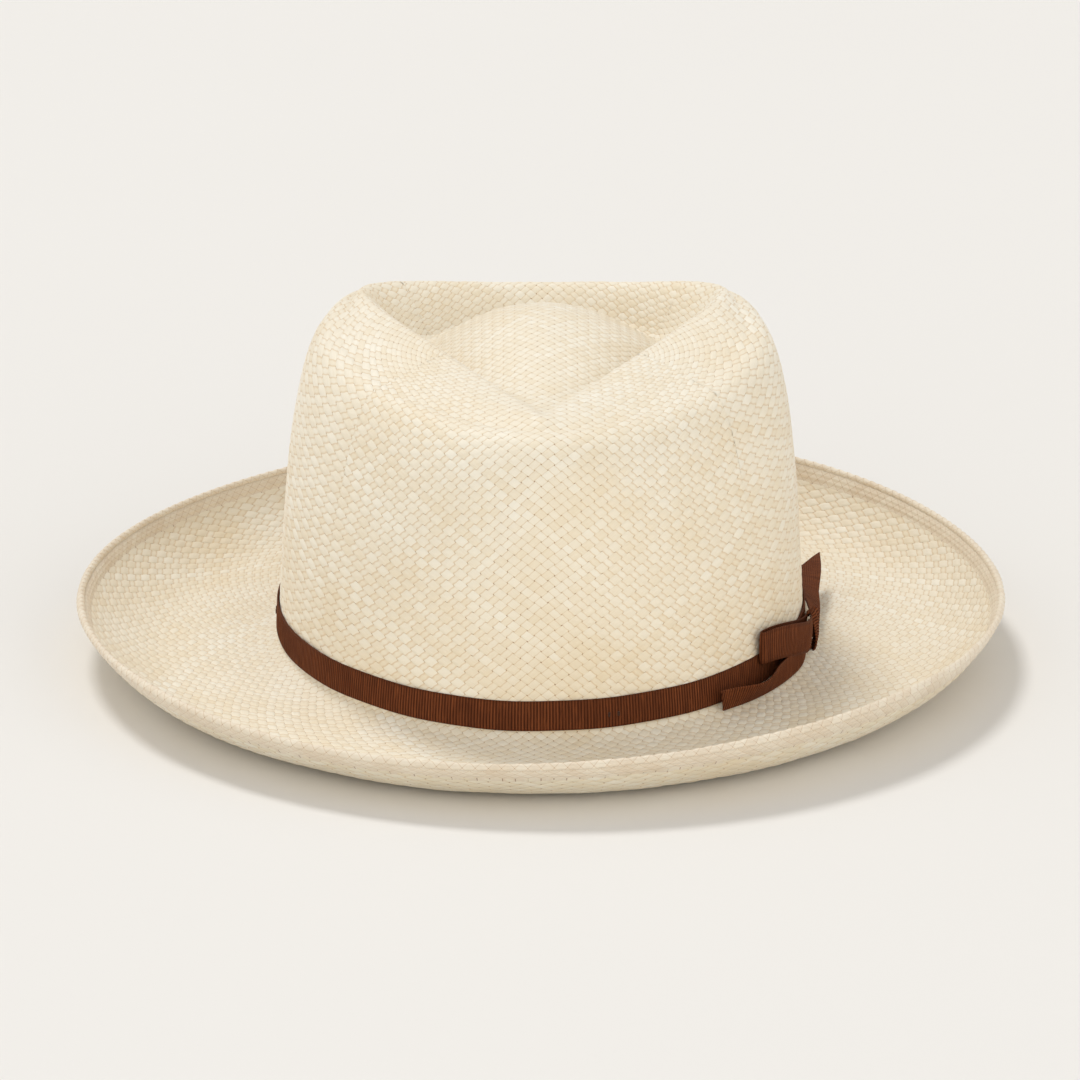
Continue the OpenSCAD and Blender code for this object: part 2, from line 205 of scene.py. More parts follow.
def brim_top(f, u):
    """Upper face of the brim, u mm out from the crown."""
    f, u = np.broadcast_arrays(np.asarray(f, float), np.asarray(u, float))
    a, b = oval(f), rim(f)
    run = np.linalg.norm(b - a, axis=-1)
    p = mix(a, b, (u / run)[..., None])
    fall = clamp(1 - clamp(u / FALL_RUN) ** 0.667) ** 2
    q = np.maximum(u - (run - LIP_RUN), 0)
    full = CURL_R - math.sqrt(CURL_R ** 2 - LIP_RUN ** 2)
    arc = (CURL_R - np.sqrt(CURL_R ** 2 - q * q)) / full
    z = flat_z(f) + (turn_z(f) - flat_z(f)) * fall + (lip_z(f) - flat_z(f)) * arc
    return np.stack([p[..., 0], p[..., 1], z], -1)


def wall_at(f, z, d=0.0):
    """The crown wall at height z, pushed out by d."""
    f, z = np.broadcast_arrays(np.asarray(f, float), np.asarray(z, float))
    k = clamp((z - JOIN_Z) / (ridge_z(f) - SHOULDER_DROP - JOIN_Z))
    p, o = wall(f, k), out_dir(f)
    return np.stack([p[..., 0] + d * o[..., 0], p[..., 1] + d * o[..., 1], z], -1)


# ---- relief
def straw_relief(a, b, lead, seed):
    """Height of a plain weave of two straw families, in mm.

    a and b count straws of each family; lead (-1 to 1) raises one family over the other."""
    i, j = np.floor(a), np.floor(b)
    fa, fb = a - i, b - j
    sign_i = 1 - 2 * np.mod(i, 2)
    sign_j = 1 - 2 * np.mod(j, 2)
    rise_a = WAVE * sign_i * np.sin(np.pi * b) + LEAD * lead
    rise_b = -WAVE * sign_j * np.sin(np.pi * a) - LEAD * lead
    # each straw is flat-topped with rounded sides, and a little thicker or thinner than its neighbour
    wobble_a = 0.035 * (hash_of(i, seed + 1) - 0.5)
    wobble_b = 0.035 * (hash_of(j, seed + 2) - 0.5)
    side_a = -EDGE_DROP * np.abs(2 * fa - 1) ** SIDE_POWER
    side_b = -EDGE_DROP * np.abs(2 * fb - 1) ** SIDE_POWER
    return np.maximum(rise_a + side_a + wobble_a, rise_b + side_b + wobble_b)


def hash_of(i, seed):
    v = np.sin(i * 12.9898 + seed * 78.233) * 43758.5453
    return v - np.floor(v)


def unevenness(p):
    """Slow waviness of a hand-woven, hand-blocked body, in mm."""
    x, y, z = p[..., 0], p[..., 1], p[..., 2]
    w = 0.10 * np.sin(x * 0.11 + 1.3 * np.sin(y * 0.05) + z * 0.07)
    w += 0.08 * np.sin(y * 0.16 - z * 0.09 + 0.7 + 1.1 * np.sin(x * 0.06))
    return w + 0.05 * np.sin(x * 0.31 + y * 0.27 - z * 0.23)


# ---- grids
def angles(cols):
    """Even directions round the hat, in degrees."""
    return 360.0 * np.arange(cols) / cols


def arc_lengths(points):
    """Distance travelled along the first axis of a line or grid of points."""
    seg = np.linalg.norm(np.diff(points, axis=0), axis=-1)
    return np.concatenate([np.zeros_like(seg[:1]), np.cumsum(seg, axis=0)])


def along_rows(dense, positions):
    """Resample each column of dense (rows, cols, 3) at arc lengths positions (rows2, cols)."""
    s = arc_lengths(dense)
    out = np.empty(positions.shape + (3,))
    for c in range(dense.shape[1]):
        for axis in range(3):
            out[:, c, axis] = np.interp(positions[:, c], s[:, c], dense[:, c, axis])
    return out


def ring_normals(p):
    """Outward normals of a grid (rows, cols, 3) that closes round its columns."""
    dc = np.roll(p, -1, 1) - np.roll(p, 1, 1)
    dr = np.gradient(p, axis=0)
    return unit(np.cross(dc, dr))


def sheet_quads(rows, cols):
    idx = np.arange(rows * cols).reshape(rows, cols)
    return np.stack([idx[:-1, :-1], idx[:-1, 1:], idx[1:, 1:], idx[1:, :-1]], -1).reshape(-1, 4)


def tube_quads(rows, cols, wrap_cols=True, wrap_rows=True):
    idx = np.arange(rows * cols).reshape(rows, cols)
    if wrap_cols:
        idx = np.concatenate([idx, idx[:, :1]], 1)
    if wrap_rows:
        idx = np.concatenate([idx, idx[:1]], 0)
    return np.stack([idx[:-1, :-1], idx[:-1, 1:], idx[1:, 1:], idx[1:, :-1]], -1).reshape(-1, 4)


# ---- objects
def add_object(name, data):
    obj = bpy.data.objects.new(name, data)
    bpy.context.scene.collection.objects.link(obj)
    return obj


def add_mesh(name, points, faces, material, node, attrs=None):
    """A mesh piece from points in mm and quads or triangles, riding on the hat's one body."""
    mesh = bpy.data.meshes.new(name)
    points = np.asarray(points, dtype=np.float32).reshape(-1, 3) * MM
    faces = np.asarray(faces, dtype=np.int32)
    n, k = faces.shape
    mesh.vertices.add(len(points))
    mesh.vertices.foreach_set("co", points.ravel())
    mesh.loops.add(n * k)
    mesh.loops.foreach_set("vertex_index", faces.ravel())
    mesh.polygons.add(n)
    mesh.polygons.foreach_set("loop_start", np.arange(0, n * k, k, dtype=np.int32))
    mesh.polygons.foreach_set("loop_total", np.full(n, k, dtype=np.int32))
    mesh.polygons.foreach_set("use_smooth", np.full(n, True, dtype=bool))
    for key, values in (attrs or {}).items():
        layer = mesh.attributes.new(key, "FLOAT_VECTOR", "POINT")
        layer.data.foreach_set("vector", np.asarray(values, dtype=np.float32).reshape(-1, 3).ravel())
    mesh.update(calc_edges=True)
    mesh.validate()
    mesh.materials.append(material)
    obj = add_object(name, mesh)
    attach(obj, "root")
    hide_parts(node)


# ---- material helpers
class Nodes:
    """Short calls for building a material's node tree."""

    def __init__(self, name):
        self.mat = bpy.data.materials.new(name)
        self.mat.use_nodes = True
        self.tree = self.mat.node_tree
        self.tree.nodes.clear()
        out = self.add("ShaderNodeOutputMaterial")
        self.bsdf = self.add("ShaderNodeBsdfPrincipled")
        self.link(self.bsdf.outputs["BSDF"], out.inputs["Surface"])

    def add(self, kind, **props):
        node = self.tree.nodes.new(kind)
        for key, value in props.items():
            setattr(node, key, value)
        return node

    def link(self, a, b):
        self.tree.links.new(a, b)

    def feed(self, socket, value):
        if isinstance(value, bpy.types.NodeSocket):
            self.link(value, socket)
        else:
            socket.default_value = value

    def math(self, op, *args):
        node = self.add("ShaderNodeMath", operation=op)
        for socket, value in zip(node.inputs, args):
            self.feed(socket, value)
        return node.outputs[0]

    def ramp(self, value, low, high, to_low=0.0, to_high=1.0):
        node = self.add("ShaderNodeMapRange", interpolation_type="SMOOTHSTEP")
        for key, v in (("Value", value), ("From Min", low), ("From Max", high),
                       ("To Min", to_low), ("To Max", to_high)):
            self.feed(node.inputs[key], v)
        return node.outputs[0]

    def mix(self, t, a, b):
        node = self.add("ShaderNodeMix", data_type="RGBA", blend_type="MIX")
        self.feed(node.inputs[0], t)
        for socket, value in ((node.inputs[6], a), (node.inputs[7], b)):
            self.feed(socket, value if isinstance(value, bpy.types.NodeSocket) else (*value, 1.0))
        return node.outputs[2]

    def blend(self, t, a, b):
        node = self.add("ShaderNodeMix", data_type="FLOAT")
        for socket, value in zip((node.inputs[0], node.inputs[2], node.inputs[3]), (t, a, b)):
            self.feed(socket, value)
        return node.outputs[0]

    def noise(self, vector, scale, detail=2.0, rough=0.5):
        node = self.add("ShaderNodeTexNoise")
        self.link(vector, node.inputs["Vector"])
        node.inputs["Scale"].default_value = scale
        node.inputs["Detail"].default_value = detail
        node.inputs["Roughness"].default_value = rough
        return node.outputs["Fac"]

    def vector(self, x, y, z=0.0):
        node = self.add("ShaderNodeCombineXYZ")
        for socket, value in zip(node.inputs, (x, y, z)):
            self.feed(socket, value)
        return node.outputs[0]

    def attribute(self, name):
        node = self.add("ShaderNodeAttribute", attribute_name=name)
        split = self.add("ShaderNodeSeparateXYZ")
        self.link(node.outputs["Vector"], split.inputs[0])
        return split.outputs

    def place(self):
        return self.add("ShaderNodeTexCoord").outputs["Object"]

    def random(self, value, seed=0.0):
        node = self.add("ShaderNodeTexWhiteNoise", noise_dimensions="2D")
        self.link(self.vector(value, seed), node.inputs["Vector"])
        return node.outputs["Value"]

    def bump(self, height, distance, strength):
        node = self.add("ShaderNodeBump")
        node.inputs["Strength"].default_value = strength
        node.inputs["Distance"].default_value = distance
        self.feed(node.inputs["Height"], height)
        return node.outputs["Normal"]

    def surface(self, color, rough, normal=None, **fixed):
        self.feed(self.bsdf.inputs["Base Color"], color)
        self.feed(self.bsdf.inputs["Roughness"], rough)
        if normal is not None:
            self.link(normal, self.bsdf.inputs["Normal"])
        for key, value in fixed.items():
            self.bsdf.inputs[key.replace("_", " ")].default_value = value
        return self.mat


def srgb(r, g, b):
    """Linear colour of an sRGB colour given in 0 to 255."""
    def one(c):
        c /= 255.0
        return c / 12.92 if c <= 0.04045 else ((c + 0.055) / 1.055) ** 2.4
    return one(r), one(g), one(b)


# ---- straw
IVORY = srgb(237, 228, 209)
WHITE_STRAW = srgb(243, 238, 224)
HONEY = srgb(226, 205, 166)
# the last two tones are painted shade, for the gaps between straws and the holes where they cross
GAP_SHADE = srgb(205, 172, 122)
HOLE_SHADE = srgb(128, 84, 50)


def straw_material(name, ivory=IVORY):
    """Woven straw: reads the weave counts on the mesh, so the colour follows the relief."""
    n = Nodes(name)
    a, b, lead = n.attribute("weave")
    i, j = n.math("FLOOR", a), n.math("FLOOR", b)
    fa, fb = n.math("SUBTRACT", a, i), n.math("SUBTRACT", b, j)

    def height(own, own_frac, cross, sign):
        swing = n.math("MULTIPLY", n.math("COSINE", n.math("MULTIPLY", own, math.pi)),
                       n.math("SINE", n.math("MULTIPLY", cross, math.pi)))
        side = n.math("POWER", n.math("ABSOLUTE", n.math("MULTIPLY_ADD", own_frac, 2.0, -1.0)), SIDE_POWER)
        level = n.math("MULTIPLY_ADD", swing, WAVE * sign, n.math("MULTIPLY", lead, LEAD * sign))
        return n.math("MULTIPLY_ADD", side, -EDGE_DROP, level)

    up_a = height(i, fa, b, 1.0)
    up_b = height(j, fb, a, -1.0)
    diff = n.math("SUBTRACT", up_a, up_b)
    over = n.ramp(diff, -0.012, 0.012)
    top = n.math("MAXIMUM", up_a, up_b)
    across = n.blend(over, fb, fa)
    along = n.blend(over, a, b)
    straw_id = n.math("FLOOR", n.math("ADD", n.blend(over, n.math("ADD", j, 331.0), i), 0.5))

    # tones: each straw its own, fibres along it, cells, and slow patches over the whole hat
    one = n.random(straw_id, 1.7)
    two = n.random(straw_id, 5.3)
    fibre = n.noise(n.vector(n.math("MULTIPLY", across, 5.0), n.math("MULTIPLY", along, 0.35),
                             n.math("MULTIPLY", straw_id, 3.1)), 2.2, 3.0, 0.6)
    cell = n.random(n.math("MULTIPLY_ADD", i, 7.0, j), 3.9)
    mottling = n.noise(n.place(), 38.0, 3.0, 0.55)
    patch = n.noise(n.place(), 9.0, 2.0, 0.5)

    color = n.mix(n.ramp(one, 0.0, 1.0, 0.0, 0.32), ivory, HONEY)
    color = n.mix(n.ramp(two, 0.7, 0.95, 0.0, 0.5), color, WHITE_STRAW)
    color = n.mix(n.ramp(fibre, 0.35, 0.75, 0.0, 0.4), color, WHITE_STRAW)
    color = n.mix(n.ramp(mottling, 0.4, 0.75, 0.0, 0.3), color, HONEY)
    color = n.mix(n.ramp(patch, 0.45, 0.7, 0.0, 0.16), color, HONEY)
    color = n.mix(n.ramp(cell, 0.7, 1.0, 0.0, 0.3), color, WHITE_STRAW)
    # painted shade: honey-dark lines where straws meet, the low parts of the weave darkened, and dark dots in
    # the holes at the crossings
    line = n.math("SUBTRACT", 1.0, n.ramp(n.math("ABSOLUTE", diff), 0.0, 0.09))
    color = n.mix(n.math("MULTIPLY", line, 0.5), color, GAP_SHADE)
    # painted shade: the low parts of the relief darkened towards the gap shade
    low = n.ramp(top, -0.015, -0.1)
    color = n.mix(n.math("MULTIPLY", low, 0.6), color, GAP_SHADE)
    # painted shade in the holes at the crossings, stronger at some crossings than at others
    corner = n.random(n.math("MULTIPLY_ADD", n.math("ROUND", a), 13.0, n.math("ROUND", b)), 8.1)
    hole_shade = n.math("MULTIPLY", n.ramp(top, -0.045, -0.09), n.ramp(corner, 0.1, 1.0, 0.25, 1.0))
    color = n.mix(hole_shade, color, HOLE_SHADE)

    rough = n.ramp(fibre, 0.2, 0.8, 0.5, 0.68)
    relief = n.math("MULTIPLY_ADD", fibre, 0.05, top)
    normal = n.bump(relief, 0.0011, 0.5)
    return n.surface(color, rough, normal, Specular_IOR_Level=0.32, Sheen_Weight=0.12,
                     Sheen_Roughness=0.5)


def straws_round(f):
    """The straws stand closer at the front and back of the crown than at its sides."""
    return f + np.degrees(0.175 * np.sin(2 * np.radians(f)))


def lead_of(f):
    """One family lies over the other on each side of the front."""
    return -np.tanh(4 * sind(f))


def azimuth(p):
    """Direction of a point seen from the middle of the top: 0 at the front, 90 at the wearer's left."""
    return np.degrees(np.arctan2(p[..., 0] - CENTRE[0], CENTRE[1] - p[..., 1]))


def meridians(cols):
    """Lines over the crown from the brim to the middle of the top, each in one upright plane."""
    f = angles(1800)
    k = 1 - (1 - np.linspace(0, 1, 360)) ** 3
    rows = np.concatenate([
        wall(f[None, :], k[:, None]),
        brow(f[None, :], np.linspace(0, 1, 80)[1:, None]),
        dent(f[None, :], np.linspace(0, 1, 260)[1:, None]),
    ])
    az = angles(cols)
    lines = np.empty((len(rows), cols, 3))
    for i, row in enumerate(rows[:-1]):
        seen = np.degrees(np.unwrap(np.radians(azimuth(row))))
        seen -= 360 * round(seen[0] / 360)
        for axis in range(3):
            lines[i, :, axis] = np.interp(az, seen, row[:, axis], period=360)
        if i == 0:
            turn = np.interp(az, np.append(seen, seen[0] + 360), np.append(f, 360.0))
    lines[-1] = rows[-1][:1]
    return az, turn, lines, arc_lengths(lines)[-1]


def crown_counts(az, turn, out, x, wedge):
    """Straw counts on the crown, in one of its four quarters.

    out is the distance over the straw from the middle of the top. Straws are added along the
    four lines between the quarters, so they keep their spacing, until the wall is reached."""
    psi = np.radians(az - wedge)
    round_ = CROWN_STRAWS * straws_round(turn) / 360
    middle = np.interp(wedge, az, round_)
    part = middle - round(middle)       # keeps whole straws where two quarters meet on the wall
    slope = np.gradient(round_, psi)
    near = np.abs(psi) < 0.01
    per = np.where(near, slope, (round_ - middle) / np.where(near, 1, psi))
    t = out / (TOP_PITCH * per)
    ring = psi * per * t / (1 + t ** 8) ** 0.125 + part
    spread = smooth((out - FLAT_RUN) / SPREAD_RUN)
    u = mix(out * np.sin(psi) / FLAT_PITCH, ring, spread)
    w = -(out / FLAT_PITCH + np.maximum(out - FLAT_RUN, 0) * (1 / ROW - 1 / FLAT_PITCH))
    w = w * mix(np.cos(psi), 1.0, spread)
    turned = -1.0 if wedge % 180 else 1.0
    lead = mix(-turned * np.tanh((x - CENTRE[0]) / LEAD_RUN), lead_of(turn) + 0 * out, spread)
    return u + w, w - u, lead


def crown_wall(cols, rows):
    """The wall, the ridge and the outer part of the dent, as rows up from the brim."""
    az, turn, lines, total = meridians(cols)
    seam = total - FLAT_RUN
    s = np.linspace(0, 1, rows)[:, None] * seam[None, :]
    p = along_rows(lines, s)
    return dict(az=az, turn=turn, p=p, n=ring_normals(p), out=total[None, :] - s,
                lines=lines, total=total, seam=seam)


def crown_quarter(g, start):
    """One quarter of crown_wall with its straw counts."""
    cols = g["p"].shape[1]
    k = sector_columns(cols, start)
    az = g["az"][k % cols] + 360 * np.floor(k / cols)
    turn = g["turn"][k % cols] + 360 * np.floor(k / cols)
    p, n, out = (g[key][:, k % cols] for key in ("p", "n", "out"))
    a, b, lead = crown_counts(az, turn, out, p[..., 0], start + 45)
    return dict(p=p, n=n, a=a, b=b, lead=lead)


def disc_index(rings):
    """Ring number and column of each point of a square grid laid over a disc."""
    p, q = np.meshgrid(np.arange(-rings, rings + 1), np.arange(-rings, rings + 1))
    ring = np.maximum(np.abs(p), np.abs(q))
    t = np.where(q == ring, 4 * ring - p, 6 * ring - q)
    t = np.where(p == ring, 2 * ring + q, t)
    return ring, np.where(q == -ring, p, t)


def crown_top(g, rings):
    """The flat-woven middle of the top, as a square grid bent over a disc."""
    steps = 1 - np.arange(rings + 1)[:, None] / rings
    s = g["seam"][None, :] + FLAT_RUN * steps
    table = along_rows(g["lines"], s)
    table_n = -ring_normals(table)
    table_n[-1] = g["n"][-1]
    ring, t = disc_index(rings)
    column = (t * rings / np.maximum(ring, 1)) % (8 * rings)
    c0 = np.floor(column).astype(int) % (8 * rings)
    c1, ct = (c0 + 1) % (8 * rings), (column - np.floor(column))[..., None]

    def pick(grid):
        return grid[ring, c0] * (1 - ct) + grid[ring, c1] * ct

    p, n = pick(table), unit(pick(table_n))
    n[rings, rings] = [0, 0, 1]
    far = FLAT_RUN * ring / rings
    psi = 2 * math.pi * column / (8 * rings)
    u, w = far * np.sin(psi) / FLAT_PITCH, -far * np.cos(psi) / FLAT_PITCH
    lead = -np.tanh((p[..., 0] - CENTRE[0]) / LEAD_RUN)
    return dict(p=p, n=n, a=u + w, b=w - u, lead=lead)


def weave_sheet(g, seed, gain=1.0):
    """Points of a grid raised by the weave and a slow unevenness."""
    h = gain * straw_relief(g["a"], g["b"], g["lead"], seed) + unevenness(g["p"])
    return g["p"] + g["n"] * h[..., None]


SECTORS = (("front", -45), ("left", 45), ("back", 135), ("right", 225))


def sector_columns(cols, start):
    """Columns of one quarter, both ends included."""
    quarter = cols // 4
    first = int(round(start / 360 * cols))
    return np.arange(first, first + quarter + 1)


def build_crown():
    mat = straw_material("straw_of_crown")
    g = crown_wall(CROWN_COLS, CROWN_ROWS)
    for name, start in SECTORS:
        weave_piece(f"straw_crown_{name}", crown_quarter(g, start), mat, 11)
    weave_piece("straw_crown_top", crown_top(g, TOP_RINGS), mat, 11)
    build_crown_inside()


def weave_piece(name, q, material, seed, inside=False, gain=1.0):
    """A piece of the crown; q may give the exact points of its first row."""
    points = weave_sheet(q, seed, gain)
    if "first" in q:
        points[0] = q["first"]
    counts = np.stack([q["a"], q["b"], q["lead"]], -1)
    quads = sheet_quads(*points.shape[:2])
    if inside:
        quads = quads[:, ::-1]
    add_mesh(name, points, quads, material, "straw_crown", {"weave": counts})


def build_crown_inside():
    """The inner face, seen from below: the same weave, a straw's thickness in, in a darker tone painted in as
    shade.
    """
    # painted shade: the inside of the crown gets a darker copy of the straw's ivory
    mat = straw_material("straw_inside_shaded", ivory=srgb(228, 216, 190))
    rings = 80
    g = crown_wall(8 * rings, 170)
    foot = g["p"][0].copy()
    g["p"] = g["p"] - STRAW_T * g["n"]
    g["n"] = -g["n"]
    for name, start in SECTORS:
        q = crown_quarter(g, start)
        q["first"] = foot[sector_columns(8 * rings, start) % (8 * rings)]
        weave_piece(f"straw_crown_inside_{name}", q, mat, 5, True, 0.6)
    top = crown_top(dict(g, n=-g["n"]), rings)
    top["p"] = top["p"] - STRAW_T * top["n"]
    top["n"] = -top["n"]
    weave_piece("straw_crown_inside_top", top, mat, 5, True, 0.6)


# ---- brim
def brim_end(f):
    """How far out the brim's own weave runs before the finish laps over it."""
    return brim_run(f) - FINISH_W * 0.55


def brim_grid(cols, rows, ease=1.0):
    """The brim's upper face from the crown out to the finish; ease > 1 packs rows at the edge."""
    f = angles(cols)
    neck = np.concatenate([oval(f), np.full((cols, 1), JOIN_Z)], 1)[None]
    u = np.linspace(0, 1, 320)[:, None] ** 1.5 * brim_end(f)[None, :]
    lines = np.concatenate([neck, brim_top(f[None, :], u)])
    seg = np.linalg.norm(np.diff(lines, axis=0), axis=2).sum(0)
    t = 1 - (1 - np.linspace(0, 1, rows)) ** ease
    s = t[:, None] * seg[None, :]
    p = along_rows(lines, s)
    u2 = BRIM_STRAWS * f[None, :] / 360 + 0 * s
    w = -s / BRIM_ROW
    n = -ring_normals(p)
    n = n * np.where(n[..., 2:] < -0.2, -1, 1)
    lead = lead_of(f)[None, :] + 0 * s
    return dict(f=f, p=p, n=n, a=u2 + w, b=w - u2, lead=lead)


def brim_sectors(g, points, name, material, under=False):
    """Four pieces of brim, with whole-number steps in their straw counts where the circle closes."""
    cols = points.shape[1]
    for side, start in SECTORS:
        k = sector_columns(cols, start)
        shift = BRIM_STRAWS * np.floor(k / cols)
        a = g["a"][:, k % cols] + shift
        b = g["b"][:, k % cols] - shift
        attrs = {"weave": np.stack([a, b, g["lead"][:, k % cols]], -1)}
        quads = sheet_quads(points.shape[0], len(k))
        if not under:
            quads = quads[:, ::-1]
        add_mesh(f"{name}_{side}", points[:, k % cols], quads, material, "straw_brim", attrs)


def build_brim():
    top = brim_grid(BRIM_COLS, 160)
    points = weave_sheet(top, seed=7)
    brim_sectors(top, points, "straw_brim_top", straw_material("straw_of_brim"))
    low = brim_grid(BRIM_COLS, 110, ease=1.6)
    low["p"] = low["p"] - STRAW_T * low["n"]
    edge = np.concatenate([oval(low["f"], -STRAW_T), np.full((BRIM_COLS, 1), JOIN_Z)], 1)
    low["p"][0] = edge
    under = weave_sheet(dict(low, n=-low["n"], a=low["a"] + 1), seed=8)
    under[0] = edge
    under[..., 2] = np.maximum(under[..., 2], 0.0)
    # painted shade: the underside of the brim gets a darker copy of the straw's ivory
    mat = straw_material("straw_under_brim_shaded", ivory=srgb(232, 222, 198))
    brim_sectors(low, under, "straw_brim_under", mat, under=True)


# ---- finish along the edge
EDGE_STRAND = 4.0       # pitch of the plaited strands along the edge
BEAD_R, BEAD_BACK = 1.0, 1.25   # bead at the tip, and how far its middle stands in from the tip
FACE_BACK = 2.3         # the flat faces of the finish stop this far in from the tip


def edge_face(side, turn, flat):
    """One flat face: steps out and up from the middle of the section, and the share of the way out.

    It starts inside the straw and laps over the end of the brim's own weave."""
    part = [(-2.4, side * 0.2, 0.0), (-1.5, side * (STRAW_T / 2 - 0.14), 0.0)]
    for t in np.linspace(0, 1, 20):
        rise = mix(STRAW_T / 2 + 0.10, FINISH_T / 2, smooth(t / 0.5))
        rise = rise - 0.28 * smooth((t - 0.93) / 0.07)
        weave = 0.11 * np.sin(turn + side * t * 9.0) * np.sin(turn - side * t * 9.0)
        weave = weave * smooth(t / 0.1) * smooth((1 - t) / 0.1)
        part.append((t * flat, side * (rise + weave), t))
    return part


def edge_bead(turn, length):
    """The scalloped bead, from the upper side round the tip to the lower side."""
    bead = []
    for t in np.linspace(-2.3, 2.3, 23):
        lobe = 0.30 * np.abs(np.sin(turn / 2 - t * 0.9)) + 0.05
        r = BEAD_R + lobe
        bead.append((length - BEAD_BACK + np.cos(-t) * r * 0.98, np.sin(-t) * r, 0.5 + t / 5))
    return bead


def build_edge():
    cols = BRIM_COLS
    f = angles(cols)
    start, tip = brim_top(f, brim_end(f)), brim_top(f, brim_run(f))
    du, o = unit(tip - start), out_dir(f)
    up = unit(np.stack([-du[:, 2] * o[:, 0], -du[:, 2] * o[:, 1],
                        du[:, 0] * o[:, 0] + du[:, 1] * o[:, 1]], -1))
    length = np.linalg.norm(tip - start, axis=1)
    centre = start - up * STRAW_T / 2
    around = arc_lengths(tip)
    total = around[-1] + np.linalg.norm(tip[0] - tip[-1])
    strands = round(total / EDGE_STRAND)
    turn = around / total * strands * 2 * np.pi

    faces = [edge_face(side, turn, length - FACE_BACK) for side in (1, -1)]
    section = faces[0] + edge_bead(turn, length) + faces[1][::-1]
    ones = np.ones(cols)
    pts = np.stack([centre + du * (x * ones)[:, None] + up * (y * ones)[:, None] for x, y, _ in section])
    sides = np.stack([np.clip(y * ones, -1, 1) for _, y, _ in section])
    pts = pts + (unevenness(pts) * sides)[..., None] * up[None]
    plait = np.stack([np.stack([turn / (2 * np.pi), t * ones, 0 * ones], -1) for _, _, t in section])
    # the first column again, with its own count of strands, so that the plait closes
    pts = np.concatenate([pts, pts[:, :1]], 1)
    plait = np.concatenate([plait, plait[:, :1] + np.array([strands, 0, 0])], 1)
    quads = sheet_quads(len(section), cols + 1)[:, ::-1]
    add_mesh("brim_edge_finish", pts, quads, edge_material(), "brim_edge", {"plait": plait})


def edge_material():
    """Denser straw than the brim: slanting strands that cross, with fibres across the band, and painted shade
    in the gaps and holes between the strands.
    """
    n = Nodes("straw_edge")
    s, t, _ = n.attribute("plait")
    a = n.math("MULTIPLY_ADD", t, 1.45, s)
    b = n.math("MULTIPLY_ADD", t, -1.45, s)
    cell_a = n.math("ABSOLUTE", n.math("SINE", n.math("MULTIPLY", a, math.pi)))
    cell_b = n.math("ABSOLUTE", n.math("SINE", n.math("MULTIPLY", b, math.pi)))
    gap = n.math("MINIMUM", cell_a, cell_b)
    one = n.random(n.math("FLOOR", a), 2.1)
    fibre = n.noise(n.vector(n.math("MULTIPLY", s, 2.0), n.math("MULTIPLY", t, 26.0)), 1.6, 3.0, 0.6)
    mottling = n.noise(n.place(), 60.0, 3.0, 0.6)
    color = n.mix(n.ramp(one, 0.0, 1.0, 0.0, 0.5), srgb(231, 219, 198), srgb(219, 199, 172))
    color = n.mix(n.ramp(fibre, 0.4, 0.75, 0.0, 0.5), color, srgb(240, 233, 218))
    color = n.mix(n.ramp(mottling, 0.45, 0.8, 0.0, 0.4), color, srgb(212, 188, 156))
    # painted shade in the gaps between the strands
    color = n.mix(n.ramp(gap, 0.22, 0.0, 0.0, 0.5), color, srgb(196, 164, 124))
    # painted shade in the holes where the strands cross
    hole = n.math("MULTIPLY", n.ramp(n.math("MAXIMUM", cell_a, cell_b), 0.2, 0.0), 0.8)
    color = n.mix(hole, color, HOLE_SHADE)
    normal = n.bump(n.math("MULTIPLY_ADD", fibre, 0.5, gap), 0.00012, 0.7)
    return n.surface(color, n.ramp(fibre, 0.2, 0.8, 0.46, 0.62), normal, Specular_IOR_Level=0.36,
                     Sheen_Weight=0.1, Sheen_Roughness=0.5)


# ---- ribbon
RIB = 1.0           # pitch of the grosgrain ribs, mm


